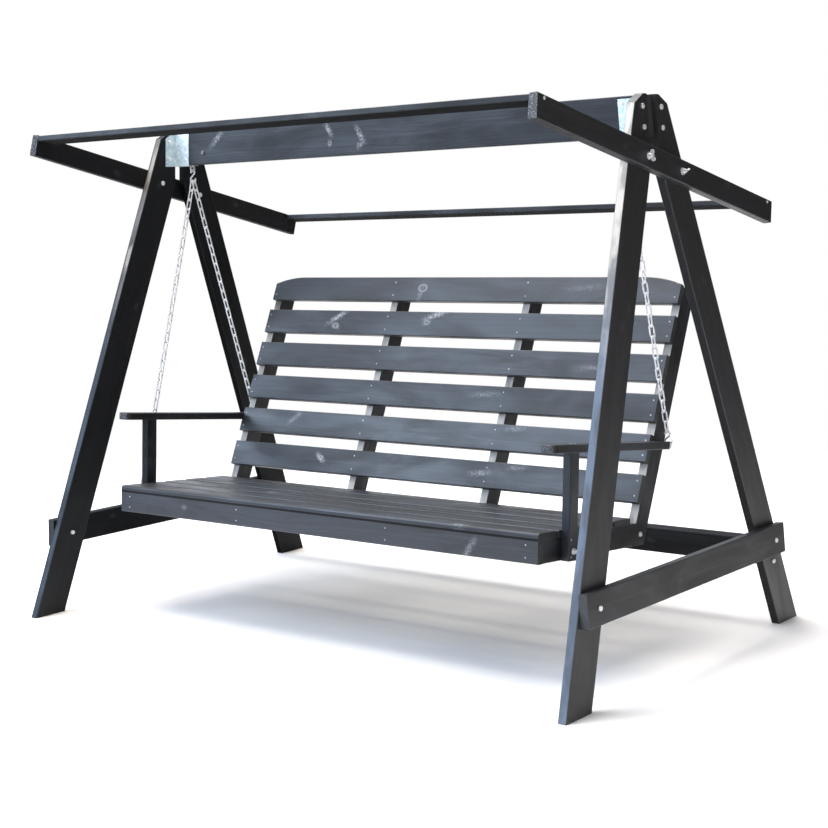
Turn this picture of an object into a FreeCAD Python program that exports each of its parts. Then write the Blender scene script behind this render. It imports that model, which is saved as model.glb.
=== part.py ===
import FreeCAD, Part
import math
import os
import Sketcher
from types import SimpleNamespace

Vector = FreeCAD.Vector
Rotation = FreeCAD.Rotation
Placement = FreeCAD.Placement

doc = FreeCAD.newDocument("swing_bench")
sheet = doc.addObject("Spreadsheet::Sheet", "dims")

# Driving sizes in millimetres and degrees
sizes = {
    "standHeight": 1670,
    "footSpread": 1370,
    "frameLean": 4,
    "topSpread": 82.29484,
    "legWidth": 120,
    "boardThick": 28,
    "beamSlack": 1,
    "topFlat": 20,
    "topClip": 27,
    "stretcherWidth": 95,
    "stretcherOverhang": 59.21622,
    "stretcherRise": 279,
    "crossWidth": 95,
    "crossDrop": 36.40906,
    "crossBoltDepth": 60,
    "crossBoltReach": 54,
    "beamWidth": 45,
    "beamHeight": 120,
    "beamBelowTop": 2,
    "beamEntry": 15,
    "beamBoltIn": 81,
    "beamBoltRise": 40,
    "roofSlope": 13.4,
    "roofArmLength": 1310,
    "roofArmWidth": 70,
    "roofArmDrop": 203,
    "roofArmShift": 12,
    "roofRailWidth": 58,
    "roofRailThick": 18,
    "hangerSheet": 2,
    "hangerSeat": 50,
    "hangerCheek": 70,
    "hangerFlange": 48,
    "hangerHeight": 112,
    "hangerChamfer": 16,
    "hangerChamferRun": 25.6,
    "hangerBoltLow": 24,
    "hangerBoltHigh": 84,
    "hangerBoltOut": 30,
    "boltDia": 8,
    "headDia": 16,
    "headHigh": 5,
    "headRound": 3,
    "nutAcross": 13,
    "nutHigh": 6.5,
    "boltTail": 9,
    "washerDia": 22,
    "washerThick": 2,
    "wingHubLow": 8,
    "wingHubTop": 6.5,
    "wingHubHigh": 9,
    "wingSpan": 34,
    "wingEar": 6.5,
    "wingRise": 10.5,
    "wingThick": 3,
    "wingSpinFront": 10,
    "wingSpinRear": 110,
    "eyeWire": 6,
    "eyeRadius": 9,
    "eyeShank": 55,
    "eyeNeck": 20,
    "eyeWasherDia": 19.5,
    "eyeOverSeat": 37,
    "eyeToFrame": 64.68492,
    "beamEyeDrop": 12.5,
    "hookWire": 6,
    "hookRadius": 9,
    "hookPlay": 1.4,
    "hookSpan": 44,
    "hookMouthTop": 200,
    "hookMouthLow": 380,
    "linkWire": 5,
    "linkWidth": 20,
    "linkPitch": 35,
    "seatLength": 1744,
    "seatFront": -447.55,
    "seatRise": 449,
    "seatTilt": 4.5,
    "seatSlatCount": 5,
    "seatSlatWidth": 90,
    "seatSlatGap": 11,
    "slatThick": 19,
    "seatRailHeight": 70,
    "bearerTail": 59.5,
    "bearerOffset": 301,
    "backSlatCount": 6,
    "backSlatWidth": 90,
    "backPitch": 129.5,
    "backStart": 46.7,
    "backClear": 21.5,
    "backLean": 19.5,
    "backEndDrop": 24,
    "backEndRun": 140,
    "backPostDepth": 70,
    "backPostTop": 750,
    "armPostWidth": 45,
    "armPostSetback": 117,
    "armLap": 14,
    "armWidth": 55,
    "armThick": 24,
    "armFront": 15,
    "armTail": 120.5,
    "armHigh": 251,
    "armFall": 2.1,
    "armNotchRun": 70,
    "armCorner": 18,
    "frontEyeRise": 28,
    "arris": 3,
    "nosing": 8,
    "slideFit": 0.1,
    "turnFit": 0.08,
    "seatGap": 0.3,
    "holeSlack": 0.3,
}


def asSpan(thing):
    return thing if isinstance(thing, Span) else Span("(%r)" % float(thing), thing)


# A size that carries its sheet formula along with its number
class Span:
    def __init__(self, text, value):
        self.text = text
        self.value = float(value)

    def __add__(self, other):
        other = asSpan(other)
        return Span("(%s + %s)" % (self.text, other.text), self.value + other.value)

    def __sub__(self, other):
        other = asSpan(other)
        return Span("(%s - %s)" % (self.text, other.text), self.value - other.value)

    def __mul__(self, other):
        other = asSpan(other)
        return Span("(%s * %s)" % (self.text, other.text), self.value * other.value)

    def __truediv__(self, other):
        other = asSpan(other)
        return Span("(%s / %s)" % (self.text, other.text), self.value / other.value)

    def __radd__(self, other):
        return asSpan(other) + self

    def __rsub__(self, other):
        return asSpan(other) - self

    def __rmul__(self, other):
        return asSpan(other) * self

    def __neg__(self):
        return self * -1


def sinOf(angle):
    return Span("sin(%s)" % angle.text, math.sin(math.radians(angle.value)))


def cosOf(angle):
    return Span("cos(%s)" % angle.text, math.cos(math.radians(angle.value)))


def tanOf(angle):
    return Span("tan(%s)" % angle.text, math.tan(math.radians(angle.value)))


def atanOf(slope):
    return Span("atan(%s)" % slope.text, math.degrees(math.atan(slope.value)))


for row, (alias, value) in enumerate(sizes.items(), start=1):
    sheet.set("A%d" % row, alias)
    sheet.set("B%d" % row, str(value))
    sheet.setAlias("B%d" % row, alias)
doc.recompute()
d = SimpleNamespace(**{alias: Span("dims." + alias, value) for alias, value in sizes.items()})

made = []
zero = asSpan(0)
longEdge = 200
edgeReach = 1
sideName = {-1: "left", 1: "right"}
endName = {-1: "front", 1: "rear"}


# A size that follows from others keeps its own name in the sheet
def follow(alias, size):
    row = len(vars(d)) + 1
    sheet.set("A%d" % row, alias)
    sheet.set("B%d" % row, "=" + size.text.replace("dims.", ""))
    sheet.setAlias("B%d" % row, alias)
    setattr(d, alias, Span("dims." + alias, size.value))
    doc.recompute()


def newBody(name):
    body = doc.addObject("PartDesign::Body", name)
    body.Label = name
    made.append(body)
    return body


def newSketch(body, role):
    sketch = body.newObject("Sketcher::SketchObject", body.Name + "_sketch")
    plane = [f for f in body.Origin.OriginFeatures if f.Role == role][0]
    sketch.AttachmentSupport = (plane, [""])
    sketch.MapMode = "FlatFace"
    return sketch


def bindSize(sketch, rule, size):
    index = sketch.addConstraint(rule)
    sketch.setExpression("Constraints[%d]" % index, size.text)


def bindSpot(sketch, geometry, point, spot):
    for kind, axis, size in (("DistanceX", -2, spot[0]), ("DistanceY", -1, spot[1])):
        size = asSpan(size)
        if abs(size.value) < 1e-9:
            sketch.addConstraint(Sketcher.Constraint("PointOnObject", geometry, point, axis))
        elif size.value > 0:
            bindSize(sketch, Sketcher.Constraint(kind, -1, 1, geometry, point, size.value), size)
        else:
            bindSize(sketch, Sketcher.Constraint(kind, geometry, point, -1, 1, -size.value), -size)


def flatSpot(spot):
    return Vector(asSpan(spot[0]).value, asSpan(spot[1]).value, 0)


# Closed loop of straight lines through bound corners
def addLoop(sketch, corners):
    first = sketch.GeometryCount
    count = len(corners)
    for i in range(count):
        ends = (flatSpot(corners[i]), flatSpot(corners[(i + 1) % count]))
        sketch.addGeometry(Part.LineSegment(*ends))
    for i in range(count):
        following = first + (i + 1) % count
        sketch.addConstraint(Sketcher.Constraint("Coincident", first + i, 2, following, 1))
    for i, spot in enumerate(corners):
        bindSpot(sketch, first + i, 1, spot)


def addCircles(sketch, centres, diameter):
    for i, spot in enumerate(centres):
        sketch.addGeometry(Part.Circle(flatSpot(spot), Vector(0, 0, 1), diameter.value / 2))
        bindSpot(sketch, i, 3, spot)
        bindSize(sketch, Sketcher.Constraint("Diameter", i, diameter.value), diameter)


def addPad(body, sketch, length, direction=None, back=False):
    pad = body.newObject("PartDesign::Pad", body.Name + "_pad")
    pad.Profile = sketch
    pad.setExpression("Length", length.text)
    pad.Reversed = back
    if direction is not None:
        pad.UseCustomVector = True
        pad.Direction = direction
        pad.AlongSketchNormal = False
    body.Tip = pad
    doc.recompute()


def addHoles(body, role, centres, diameter, back=True, depth=None, lift=None):
    sketch = newSketch(body, role)
    addCircles(sketch, centres, diameter)
    if lift is not None:
        sketch.setExpression("AttachmentOffset.Base.z", lift.text)
    pocket = body.newObject("PartDesign::Pocket", body.Name + "_holes")
    pocket.Profile = sketch
    pocket.Reversed = back
    if depth is None:
        pocket.Type = "ThroughAll"
    else:
        pocket.setExpression("Length", depth.text)
    body.Tip = pocket
    doc.recompute()


# Round over the straight edges that the test picks out
def roundEdges(body, wanted, radius):
    base = body.Tip
    names = []
    for i, edge in enumerate(base.Shape.Edges, start=1):
        if edge.Curve.TypeId == "Part::GeomLine" and wanted(edge):
            names.append("Edge%d" % i)
    fillet = body.newObject("PartDesign::Fillet", body.Name + "_round")
    fillet.Base = (base, names)
    fillet.setExpression("Radius", radius.text)
    body.Tip = fillet
    doc.recompute()


def runsAlong(edge, direction, shortest=0):
    run = edge.Vertexes[1].Point.sub(edge.Vertexes[0].Point)
    unit = Vector(*direction).normalize()
    return run.Length > shortest and abs(run.normalize().dot(unit)) > 0.9999


def rect(u0, v0, u1, v1):
    return [(u0, v0), (u1, v0), (u1, v1), (u0, v1)]


def addBoard(name, role, corners, length, direction=None, back=False):
    body = newBody(name)
    sketch = newSketch(body, role)
    addLoop(sketch, corners)
    addPad(body, sketch, length, direction, back)
    return body


def place(thing, spot, rotation=Rotation()):
    thing.Placement = Placement(Vector(*spot), rotation)


def solidNode(name, pieces):
    feature = doc.addObject("Part::Feature", name)
    feature.Label = name
    feature.Shape = Part.makeCompound(pieces)
    made.append(feature)


boltHole = d.boltDia + d.holeSlack
thick = d.boardThick
leanAngle = d.frameLean.value
leanCos = cosOf(d.frameLean)
leanTan = tanOf(d.frameLean)
halfSeat = d.seatLength / 2
seatSlatTotal = round(d.seatSlatCount.value)
backSlatTotal = round(d.backSlatCount.value)
seatDepth = d.seatSlatCount * d.seatSlatWidth + (d.seatSlatCount - 1) * d.seatSlatGap
frameTop = d.standHeight / leanCos
beamLow = d.standHeight - d.beamBelowTop - d.beamHeight

# The feet stand apart by the height, the swing by its seat, the frames by the swing
follow("legAngle", atanOf((d.footSpread / 2 - d.topSpread) / frameTop))
follow("topGap", d.beamWidth + d.beamSlack)
follow("beamEyeOut", halfSeat + d.eyeOverSeat)
follow("beamBoltOut", d.beamEyeOut - d.beamBoltIn)
follow("footOuter", d.beamEyeOut + d.eyeToFrame + thick / leanCos + beamLow * leanTan)
follow("roofArmRise", d.standHeight - d.roofArmDrop)
follow("crossRise", (d.stretcherRise - d.crossDrop) * leanCos)
follow("backFoot", seatDepth + d.backClear)
follow("bearerDepth", d.backFoot + d.bearerTail)
follow("armInner", halfSeat - d.armLap)
follow("armLength", d.backFoot + d.armTail)
follow("linkOffset", d.linkWire / 2 + d.seatGap)
follow("hookFlat", 2 * d.linkOffset + d.hookPlay)
legTan = tanOf(d.legAngle)


def frameTurn(side):
    return Rotation(Vector(0, 1, 0), -side * leanAngle)


# Half distance between the inner faces of the legs at a level z
def innerFace(z):
    return d.footOuter - thick / leanCos - z * leanTan


# Spot in a leaning A-frame; out counts from the inner face, up runs along the lean
def framePoint(side, out, y, up):
    base = Vector(side * innerFace(zero).value, y.value, 0)
    return base + frameTurn(side).multVec(Vector(side * asSpan(out).value, 0, asSpan(up).value))


# Level direction away from the middle, seen inside a leaning frame
def levelOut(side):
    return Vector(side * math.cos(math.radians(leanAngle)), 0, -math.sin(math.radians(leanAngle)))


footLength = d.legWidth / cosOf(d.legAngle)
legMiddle = d.footSpread / 2 - footLength / 2


# Distance from the middle plane to the centre line of a leg
def legCentre(up):
    return legMiddle - up * legTan


roofSlopeTan = tanOf(d.roofSlope)
roofLine = d.roofArmRise / leanCos
roofBoltUp = {
    -1: (roofLine + roofSlopeTan * legMiddle) / (1 + roofSlopeTan * legTan),
    1: (roofLine - roofSlopeTan * legMiddle) / (1 - roofSlopeTan * legTan),
}
hangerFoot = beamLow / leanCos
hangerBoltY = d.beamWidth / 2 + d.hangerBoltOut
hangerBoltUp = [hangerFoot + d.hangerBoltLow, hangerFoot + d.hangerBoltHigh]
stretcherUp = d.stretcherRise
follow("stretcherLength", 2 * (legCentre(stretcherUp) + d.stretcherOverhang))
crossUp = d.crossRise / leanCos
crossBoltUp = 2 * crossUp - stretcherUp

# Legs: level feet and tops, upright cut beside the gap, clipped outer corner
innerMeet = (d.footSpread / 2 - footLength - d.topGap / 2) / legTan
clipUp = frameTop - d.topClip
for side in (-1, 1):
    for end in (-1, 1):
        corners = [
            (end * d.footSpread / 2, zero),
            (end * (d.footSpread / 2 - footLength), zero),
            (end * d.topGap / 2, innerMeet),
            (end * d.topGap / 2, frameTop),
            (end * (d.topGap / 2 + d.topFlat), frameTop),
            (end * (d.footSpread / 2 - clipUp * legTan), clipUp),
        ]
        leg = addBoard("leg_%s_%s" % (endName[end], sideName[side]), "YZ_Plane", corners,
                       thick / leanCos, levelOut(side))
        slant = (0, -end * legTan.value, 1)
        roundEdges(leg, lambda e: runsAlong(e, slant, longEdge), d.arris)
        holes = [(end * hangerBoltY, up) for up in hangerBoltUp]
        holes.append((end * legCentre(roofBoltUp[end]), roofBoltUp[end]))
        holes.append((end * legCentre(stretcherUp), stretcherUp))
        if end > 0:
            holes.append((legCentre(crossBoltUp), crossBoltUp))
        addHoles(leg, "YZ_Plane", holes, boltHole, back=side > 0)
        place(leg, framePoint(side, 0, zero, 0), frameTurn(side))

# Side stretchers on the outside of the legs
for side in (-1, 1):
    half = d.stretcherLength / 2
    low = d.stretcherRise - d.stretcherWidth / 2
    high = d.stretcherRise + d.stretcherWidth / 2
    stretcher = addBoard("stretcher_%s" % sideName[side], "YZ_Plane", rect(-half, low, half, high),
                         thick, back=side < 0)
    roundEdges(stretcher, lambda e: runsAlong(e, (0, 1, 0), longEdge), d.arris)
    spots = [(end * legCentre(stretcherUp), stretcherUp) for end in (-1, 1)]
    addHoles(stretcher, "YZ_Plane", spots, boltHole, back=side > 0)
    place(stretcher, framePoint(side, thick, zero, 0), frameTurn(side))

# Rear crossboard turned to the slope of the rear legs, its ends cut to their lean
crossMiddle = innerFace(d.crossRise) - d.seatGap - thick * sinOf(d.legAngle) * leanTan / 2
crossGain = d.crossWidth / 2 * leanTan * cosOf(d.legAngle)
crossTurn = Rotation(Vector(1, 0, 0), d.legAngle.value)
crossboard = addBoard("rear_crossboard", "XZ_Plane", [
    (-(crossMiddle + crossGain), -d.crossWidth / 2),
    (crossMiddle + crossGain, -d.crossWidth / 2),
    (crossMiddle - crossGain, d.crossWidth / 2),
    (-(crossMiddle - crossGain), d.crossWidth / 2),
], thick)
roundEdges(crossboard, lambda e: runsAlong(e, (1, 0, 0), longEdge), d.arris)
crossSpot = Vector(0, legCentre(crossUp).value, d.crossRise.value)
crossSpot = crossSpot + crossTurn.multVec(Vector(0, thick.value / 2, 0))
crossPlace = Placement(crossSpot, crossTurn)
inward = {side: frameTurn(side).multVec(Vector(-side, 0, 0)) for side in (-1, 1)}
outward = {side: frameTurn(side).multVec(Vector(side, 0, 0)) for side in (-1, 1)}
for side in (-1, 1):
    for up in (stretcherUp, crossBoltUp):
        bore = crossboard.newObject("PartDesign::SubtractiveCylinder", "rear_crossboard_bore")
        bore.setExpression("Radius", (boltHole / 2).text)
        bore.setExpression("Height", (d.crossBoltDepth * 2).text)
        mouth = framePoint(side, d.crossBoltDepth, legCentre(up), up)
        aim = Rotation(Vector(0, 0, 1), crossTurn.inverted().multVec(inward[side]))
        bore.Placement = Placement(crossPlace.inverse().multVec(mouth), aim)
        crossboard.Tip = bore
        doc.recompute()
crossboard.Placement = crossPlace

# Ridge beam: its ends enter the gaps between the legs
beamTop = d.standHeight - d.beamBelowTop
beamEndLow = innerFace(beamLow) + d.beamEntry
beamEndTop = innerFace(beamTop) + d.beamEntry
beam = addBoard("ridge_beam", "XZ_Plane", [
    (-beamEndLow, zero), (beamEndLow, zero), (beamEndTop, d.beamHeight), (-beamEndTop, d.beamHeight),
], d.beamWidth)
roundEdges(beam, lambda e: runsAlong(e, (1, 0, 0), longEdge), d.arris)
beamBolts = [(side * d.beamBoltOut, d.beamBoltRise) for side in (-1, 1)]
addHoles(beam, "XZ_Plane", beamBolts, boltHole)
beamEyes = [(side * d.beamEyeOut, -d.beamWidth / 2) for side in (-1, 1)]
addHoles(beam, "XY_Plane", beamEyes, boltHole, depth=d.eyeShank + d.seatGap)
place(beam, (0, d.beamWidth.value / 2, beamLow.value))

# Beam hangers folded from sheet: seat, two cheeks and two bolted flanges
hangerIn = d.beamWidth / 2 + d.slideFit
hangerOut = hangerIn + d.hangerSheet
hangerEdge = d.beamWidth / 2 + d.hangerFlange
hangerFloor = hangerFoot - d.slideFit
hangerBase = hangerFloor - d.hangerSheet
hangerTop = hangerFloor + d.hangerHeight
for side in (-1, 1):
    hanger = addBoard("beam_hanger_%s" % sideName[side], "YZ_Plane",
                      rect(-hangerOut, hangerBase, hangerOut, hangerFloor),
                      d.hangerSeat, levelOut(side) * -1)
    cheeks = newSketch(hanger, "YZ_Plane")
    flanges = newSketch(hanger, "YZ_Plane")
    for way in (-1, 1):
        addLoop(cheeks, rect(way * hangerIn, hangerBase, way * hangerOut, hangerTop))
        addLoop(flanges, [
            (way * hangerIn, hangerBase),
            (way * hangerEdge, hangerBase),
            (way * hangerEdge, hangerTop - d.hangerChamfer),
            (way * (hangerEdge - d.hangerChamferRun), hangerTop),
            (way * hangerIn, hangerTop),
        ])
    addPad(hanger, cheeks, d.hangerCheek, levelOut(side) * -1)
    addPad(hanger, flanges, d.hangerSheet, back=side > 0)
    holes = [(way * hangerBoltY, up) for way in (-1, 1) for up in hangerBoltUp]
    addHoles(hanger, "YZ_Plane", holes, boltHole, back=side < 0)
    place(hanger, framePoint(side, 0, zero, 0), frameTurn(side))

# Roof arms on the outside of the legs, sloping down to the rear
roofTurn = Rotation(Vector(1, 0, 0), -d.roofSlope.value)
roofCos = cosOf(d.roofSlope)
armMiddle = d.roofArmShift / roofCos
for side in (-1, 1):
    half = d.roofArmLength / 2
    arm = addBoard("roof_arm_%s" % sideName[side], "YZ_Plane",
                   rect(armMiddle - half, -d.roofArmWidth / 2, armMiddle + half, d.roofArmWidth / 2),
                   thick, back=side < 0)
    roundEdges(arm, lambda e: runsAlong(e, (0, 1, 0), longEdge), d.arris)
    spots = [(end * legCentre(roofBoltUp[end]) / roofCos, zero) for end in (-1, 1)]
    addHoles(arm, "YZ_Plane", spots, boltHole, back=side > 0)
    place(arm, framePoint(side, thick, zero, roofLine), frameTurn(side) * roofTurn)

# Roof rails lie flat between the arms, flush with their top edges and ends
railLift = (d.roofArmWidth - d.roofRailThick) / 2
railTip = (d.roofRailWidth * sinOf(d.roofSlope) + d.roofRailThick) / 2 * leanTan
for end in (-1, 1):
    along = armMiddle + end * (d.roofArmLength - d.roofRailWidth) / 2
    level = d.roofArmRise + (railLift * roofCos - along * sinOf(d.roofSlope)) * leanCos
    reach = d.footOuter - level * leanTan - railTip - d.seatGap
    wide = d.roofRailWidth / 2
    deep = d.roofRailThick / 2
    rail = addBoard("roof_rail_%s" % endName[end], "YZ_Plane", rect(-wide, -deep, wide, deep), 2 * reach)
    roundEdges(rail, lambda e: runsAlong(e, (1, 0, 0), longEdge), d.arris)
    y = (along * roofCos + railLift * sinOf(d.roofSlope)).value
    place(rail, (-reach.value, y, level.value), roofTurn)


# Copy of a shape built along +Z, moved to a spot and turned to a direction
def turned(shape, spot, direction):
    copy = shape.copy()
    copy.Placement = Placement(spot, Rotation(Vector(0, 0, 1), direction))
    return copy


# Round-headed bolt along +Z, head below the origin
def boltShape(length):
    wide = d.headDia.value / 2
    high = d.headHigh.value
    head = Part.makeCylinder(wide, high, Vector(0, 0, -high))
    rim = [e for e in head.Edges if e.CenterOfMass.z < -high + 0.001]
    head = head.makeFillet(d.headRound.value, rim)
    return head.fuse(Part.makeCylinder(d.boltDia.value / 2, length)).removeSplitter()


def ringShape(outer, high, start):
    ring = Part.makeCylinder(outer, high, Vector(0, 0, start))
    return ring.cut(Part.makeCylinder(boltHole.value / 2, high, Vector(0, 0, start)))


# Hexagon nut along +Z
def nutShape(start):
    corner = d.nutAcross.value / 2 / math.cos(math.pi / 6)
    turns = [k * math.pi / 3 for k in range(7)]
    ring = [Vector(corner * math.cos(t), corner * math.sin(t), start) for t in turns]
    block = Part.Face(Part.makePolygon(ring)).extrude(Vector(0, 0, d.nutHigh.value))
    bore = Part.makeCylinder(boltHole.value / 2, d.nutHigh.value, Vector(0, 0, start))
    return block.cut(bore)


def boltAndNut(spot, direction, grip):
    bolt = turned(boltShape(grip + d.boltTail.value), spot, direction)
    return [bolt, turned(nutShape(grip), spot, direction)]


# Hanger bolts: heads outside the legs, nuts on the flanges
pieces = []
for side in (-1, 1):
    for end in (-1, 1):
        for up in hangerBoltUp:
            spot = framePoint(side, thick, end * hangerBoltY, up)
            pieces += boltAndNut(spot, inward[side], (thick + d.hangerSheet).value)
solidNode("hanger_bolts", pieces)

# Stretcher bolts in front take nuts; the rear ones run into the crossboard
pieces = []
for side in (-1, 1):
    spot = framePoint(side, 2 * thick, -legCentre(stretcherUp), stretcherUp)
    pieces += boltAndNut(spot, inward[side], 2 * thick.value)
    depth = d.crossBoltReach.value
    spot = framePoint(side, 2 * thick, legCentre(stretcherUp), stretcherUp)
    pieces.append(turned(boltShape(2 * thick.value + depth), spot, inward[side]))
    spot = framePoint(side, thick, legCentre(crossBoltUp), crossBoltUp)
    pieces.append(turned(boltShape(thick.value + depth), spot, inward[side]))
solidNode("stretcher_bolts", pieces)

# Bolts across the ridge beam
pieces = []
for side in (-1, 1):
    spot = Vector(side * d.beamBoltOut.value, -d.beamWidth.value / 2, (beamLow + d.beamBoltRise).value)
    pieces += boltAndNut(spot, Vector(0, 1, 0), d.beamWidth.value)
solidNode("beam_bolts", pieces)

# Carriage bolts through the legs and roof arms, washers outside
pieces = []
washers = []
nutSpots = []
nutBase = 2 * thick + d.washerThick + d.seatGap
for side in (-1, 1):
    for end in (-1, 1):
        up = roofBoltUp[end]
        y = end * legCentre(up)
        tail = d.wingHubHigh + d.boltTail / 2
        pieces.append(turned(boltShape((nutBase + tail).value), framePoint(side, 0, y, up), outward[side]))
        washer = ringShape(d.washerDia.value / 2, d.washerThick.value, 0)
        washers.append(turned(washer, framePoint(side, 2 * thick, y, up), outward[side]))
        nutSpots.append((side, end, framePoint(side, nutBase, y, up)))
solidNode("roof_bolts", pieces)
solidNode("roof_washers", washers)

# Wing nuts: tapered hub with two rounded ears
wingSpin = {-1: d.wingSpinFront, 1: d.wingSpinRear}
for side, end, spot in nutSpots:
    name = "wing_nut_%s_%s" % (endName[end], sideName[side])
    hub = doc.addObject("Part::Cone", name + "_hub")
    hub.setExpression("Radius1", d.wingHubLow.text)
    hub.setExpression("Radius2", d.wingHubTop.text)
    hub.setExpression("Height", d.wingHubHigh.text)
    ears = []
    for way in (-1, 1):
        ear = doc.addObject("Part::Cylinder", name + "_ear")
        ear.setExpression("Radius", d.wingEar.text)
        ear.setExpression("Height", d.wingThick.text)
        reach = way * (d.wingSpan.value / 2 - d.wingEar.value)
        place(ear, (reach, d.wingThick.value / 2, d.wingRise.value), Rotation(Vector(1, 0, 0), 90))
        ears.append(ear)
    blank = doc.addObject("Part::MultiFuse", name + "_blank")
    blank.Shapes = [hub] + ears
    bore = doc.addObject("Part::Cylinder", name + "_bore")
    bore.setExpression("Radius", (d.boltDia / 2 + d.turnFit).text)
    bore.setExpression("Height", (d.wingSpan * 2).text)
    place(bore, (0, 0, -d.wingSpan.value))
    wingNut = doc.addObject("Part::Cut", name)
    wingNut.Label = name
    wingNut.Base = blank
    wingNut.Tool = bore
    spin = Rotation(Vector(0, 0, 1), wingSpin[end].value)
    wingNut.Placement = Placement(spot, Rotation(Vector(0, 0, 1), outward[side]) * spin)
    made.append(wingNut)

# Swing: seat axes run back along the slats and up, turned by the seat tilt
seatTurn = Rotation(Vector(1, 0, 0), -d.seatTilt.value)
seatOrigin = Vector(0, d.seatFront.value, d.seatRise.value)


def seatPoint(x, back, up):
    spot = Vector(asSpan(x).value, asSpan(back).value, asSpan(up).value)
    return seatOrigin + seatTurn.multVec(spot)


under = -d.slatThick
bottom = under - d.seatRailHeight
seatLeft = seatPoint(-halfSeat, 0, 0)

# Seat slats, the first one with a rounded nosing
for index in range(seatSlatTotal):
    start = index * (d.seatSlatWidth + d.seatSlatGap)
    slat = addBoard("seat_slat_%d" % (index + 1), "YZ_Plane",
                    rect(start, under, start + d.seatSlatWidth, zero), d.seatLength)
    frontLine = start.value + edgeReach
    rearLine = (start + d.seatSlatWidth).value - edgeReach
    topEdge = lambda e: runsAlong(e, (1, 0, 0)) and e.CenterOfMass.z > -edgeReach
    roundEdges(slat, lambda e: topEdge(e) and e.CenterOfMass.y < frontLine, d.arris if index else d.nosing)
    roundEdges(slat, lambda e: topEdge(e) and e.CenterOfMass.y > rearLine, d.arris)
    place(slat, seatLeft, seatTurn)

# Front rail under the first slat
frontRail = addBoard("seat_front_rail", "YZ_Plane", rect(zero, bottom, thick, under), d.seatLength)
lowEdge = lambda e: e.CenterOfMass.z < bottom.value + edgeReach
roundEdges(frontRail, lambda e: runsAlong(e, (1, 0, 0)) and lowEdge(e), d.arris)
place(frontRail, seatLeft, seatTurn)

# Front line of the back posts at a height above the seat
backTan = tanOf(d.backLean)
backCos = cosOf(d.backLean)
postRun = d.backPostDepth / backCos


def postFront(up):
    return d.backFoot + d.slatThick / backCos + up * backTan


eyeUp = bottom + d.frontEyeRise
armPostMiddle = d.armPostSetback + d.armPostWidth / 2
postBoltUp = bottom + d.seatRailHeight / 2
postBoltBack = postFront(postBoltUp) + postRun / 2

# Side rails stop at the end back posts
for side in (-1, 1):
    rail = addBoard("seat_side_rail_%s" % sideName[side], "YZ_Plane", [
        (thick, bottom),
        (postFront(bottom) - d.seatGap, bottom),
        (postFront(under) - d.seatGap, under),
        (thick, under),
    ], thick)
    roundEdges(rail, lambda e: runsAlong(e, (0, 1, 0)) and lowEdge(e), d.arris)
    addHoles(rail, "YZ_Plane", [(armPostMiddle, eyeUp)], boltHole)
    place(rail, seatPoint(halfSeat - thick if side > 0 else -halfSeat, 0, 0), seatTurn)

# Bearers: two inside the side rails, two beside the middle posts
bearerStarts = [-halfSeat + thick, -d.bearerOffset - thick, d.bearerOffset, halfSeat - 2 * thick]
for index, x in enumerate(bearerStarts):
    bearer = addBoard("seat_bearer_%d" % (index + 1), "YZ_Plane",
                      rect(thick, bottom, d.bearerDepth, under), thick)
    roundEdges(bearer, lambda e: runsAlong(e, (0, 1, 0)) and lowEdge(e), d.arris)
    holes = [(postBoltBack, postBoltUp)]
    if index in (0, 3):
        holes.append((armPostMiddle, eyeUp))
    addHoles(bearer, "YZ_Plane", holes, boltHole)
    place(bearer, seatPoint(x, 0, 0), seatTurn)

# Back posts: feet level with the bearers, tops cut square
postTop = d.backPostTop * backCos
postStarts = [-halfSeat, -d.bearerOffset, d.bearerOffset - thick, halfSeat - thick]
for index, x in enumerate(postStarts):
    post = addBoard("back_post_%d" % (index + 1), "YZ_Plane", [
        (postFront(bottom), bottom),
        (postFront(bottom) + postRun, bottom),
        (postFront(postTop) + d.backPostDepth * backCos, postTop - d.backPostDepth * sinOf(d.backLean)),
        (postFront(postTop), postTop),
    ], thick)
    slant = (0, backTan.value, 1)
    rearLine = postFront(zero).value + postRun.value / 2
    behind = lambda e: e.CenterOfMass.y - e.CenterOfMass.z * backTan.value > rearLine
    roundEdges(post, lambda e: runsAlong(e, slant, longEdge) and behind(e), d.arris)
    addHoles(post, "YZ_Plane", [(postBoltBack, postBoltUp)], boltHole)
    place(post, seatPoint(x, 0, 0), seatTurn)


# Outline of the top back slat: straight middle, ends falling away on arcs
def addCrest(sketch, start, finish):
    flat = halfSeat - d.backEndRun
    bend = (d.backEndRun * d.backEndRun + d.backEndDrop * d.backEndDrop) / (2 * d.backEndDrop)
    fall = math.asin((d.backEndRun / bend).value)
    corners = [(-halfSeat, start), (halfSeat, start), (halfSeat, finish - d.backEndDrop),
               (flat, finish), (-flat, finish), (-halfSeat, finish - d.backEndDrop)]
    upright = math.pi / 2
    for i in range(6):
        if i in (2, 4):
            hub = flatSpot((flat if i == 2 else -flat, finish - bend))
            circle = Part.Circle(hub, Vector(0, 0, 1), bend.value)
            turns = (upright - fall, upright) if i == 2 else (upright, upright + fall)
            sketch.addGeometry(Part.ArcOfCircle(circle, *turns))
        else:
            sketch.addGeometry(Part.LineSegment(flatSpot(corners[i]), flatSpot(corners[(i + 1) % 6])))
    for i in range(6):
        sketch.addConstraint(Sketcher.Constraint("Coincident", i, 2, (i + 1) % 6, 1))
    for i, spot in enumerate(corners):
        bindSpot(sketch, i, 1, spot)
    for i in (2, 4):
        bindSize(sketch, Sketcher.Constraint("Radius", i, bend.value), bend)


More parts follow.
